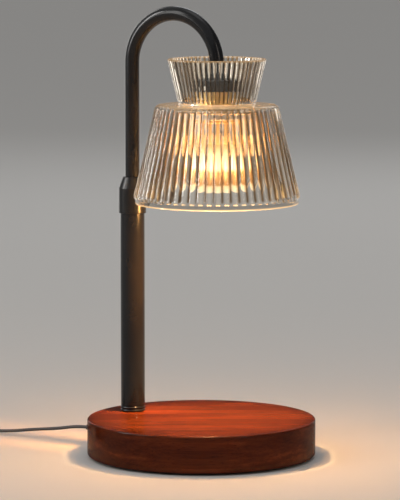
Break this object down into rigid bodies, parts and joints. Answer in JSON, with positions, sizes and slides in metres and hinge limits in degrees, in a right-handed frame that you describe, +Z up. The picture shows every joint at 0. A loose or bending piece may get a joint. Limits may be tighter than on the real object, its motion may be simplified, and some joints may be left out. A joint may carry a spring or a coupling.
{
  "type": "candle warmer lamp",
  "caption": "Candle warmer lamp: round wooden base, telescoping gooseneck stand with twist collar, two-tier reeded glass shade over a reflector bulb, cord with rotary dimmer and plug.",
  "frame": {"origin": "centre of the round base's footprint, on the surface that its rubber feet stand on", "axes": "+Z up; +X from the pole at the base's edge towards the shade; +Y to the left of +X"},
  "size_m": [0.2938, 0.174, 0.2952],
  "materials": {
    "mahogany": "satin lacquer over red-brown stained wood, fine grain",
    "base_board": "matt black board",
    "zinc_steel": "zinc-plated steel",
    "rubber": "matt black rubber",
    "ballast_iron": "dull grey iron",
    "black_enamel": "satin black powder coat on steel",
    "brass": "turned brass",
    "nylon": "natural nylon",
    "cord_jacket": "black PVC",
    "lead_sleeve": "black heat-proof sleeving",
    "dimmer_plastic": "fine-textured black plastic",
    "wheel_plastic": "dark grey plastic, fluted edge",
    "circuit_board": "green board",
    "plug_plastic": "black moulded PVC",
    "blade_nickel": "nickel-plated brass",
    "satin_nickel": "satin nickel plate",
    "ceramic": "white steatite",
    "silicone": "translucent silicone",
    "clear_glass": "clear pressed glass, reeded outside, smooth inside",
    "reflector_glass": "coated glass reflector",
    "lens_glass": "prismatic front lens",
    "quartz": "quartz capsule",
    "tungsten": "coiled wire, glowing"
  },
  "bodies": {
    "stand": {"wood_base": "mahogany", "base_cover": "base_board", "cover_screws": "zinc_steel", "ballast_screws": "zinc_steel", "pole_nipple": "zinc_steel", "pole_washer": "zinc_steel", "pole_nut": "zinc_steel", "rubber_feet": "rubber", "cord_relief": "rubber", "ballast_plate": "ballast_iron", "pole_foot": "black_enamel", "lower_pole": "black_enamel", "pole_ferrule": "brass", "collet": "nylon", "terminal_block": "nylon", "inner_cord": "cord_jacket", "cord_to_coil": "cord_jacket", "cord_coil": "cord_jacket", "cord_to_dimmer": "cord_jacket", "cord_to_plug": "cord_jacket", "base_lead": "lead_sleeve", "dimmer_lower_shell": "dimmer_plastic", "dimmer_upper_shell": "dimmer_plastic", "dimmer_screws": "zinc_steel", "dimmer_board": "circuit_board", "plug_body": "plug_plastic", "plug_blades": "blade_nickel"},
    "twist_collar": {"collar_nut": "black_enamel"},
    "slider": {"guide_bush": "nylon"},
    "arm": {"arm_tube": "black_enamel", "cap_collar": "black_enamel", "holder_cup": "black_enamel", "stop_rings": "zinc_steel", "grub_screw": "zinc_steel", "tube_nut": "zinc_steel", "holder_bracket": "zinc_steel", "bracket_screws": "zinc_steel", "cup_screws": "zinc_steel", "arm_lead": "lead_sleeve", "shade_ring": "satin_nickel", "socket_ceramic": "ceramic", "bulb_base": "ceramic", "socket_contacts": "brass", "holder_sleeve": "brass", "shade_gaskets": "silicone", "glass_shade": "clear_glass", "bulb_pins": "blade_nickel", "bulb_reflector": "reflector_glass", "bulb_lens": "lens_glass", "bulb_capsule": "quartz", "bulb_filament": "tungsten"},
    "dimmer_wheel": {"dimmer_wheel": "wheel_plastic"}
  },
  "joints": [
    {"name": "arm_height", "type": "slide", "parent": "stand", "child": "slider", "axis": [0, 0, 1], "range_m": [-0.07, 0.025]},
    {"name": "arm_swivel", "type": "hinge", "parent": "slider", "child": "arm", "pos_m": [-0.054, 0, 0.12], "axis": [0, 0, 1], "range_deg": [-90, 90]},
    {"name": "collar_twist", "type": "hinge", "parent": "stand", "child": "twist_collar", "pos_m": [-0.054, 0, 0.166], "axis": [0, 0, 1], "range_deg": [0, 180]},
    {"name": "dimmer_turn", "type": "hinge", "parent": "stand", "child": "dimmer_wheel", "pos_m": [-0.171, -0.054, 0.0094], "axis": [0, 0, 1], "range_deg": [0, 270]}
  ]
}
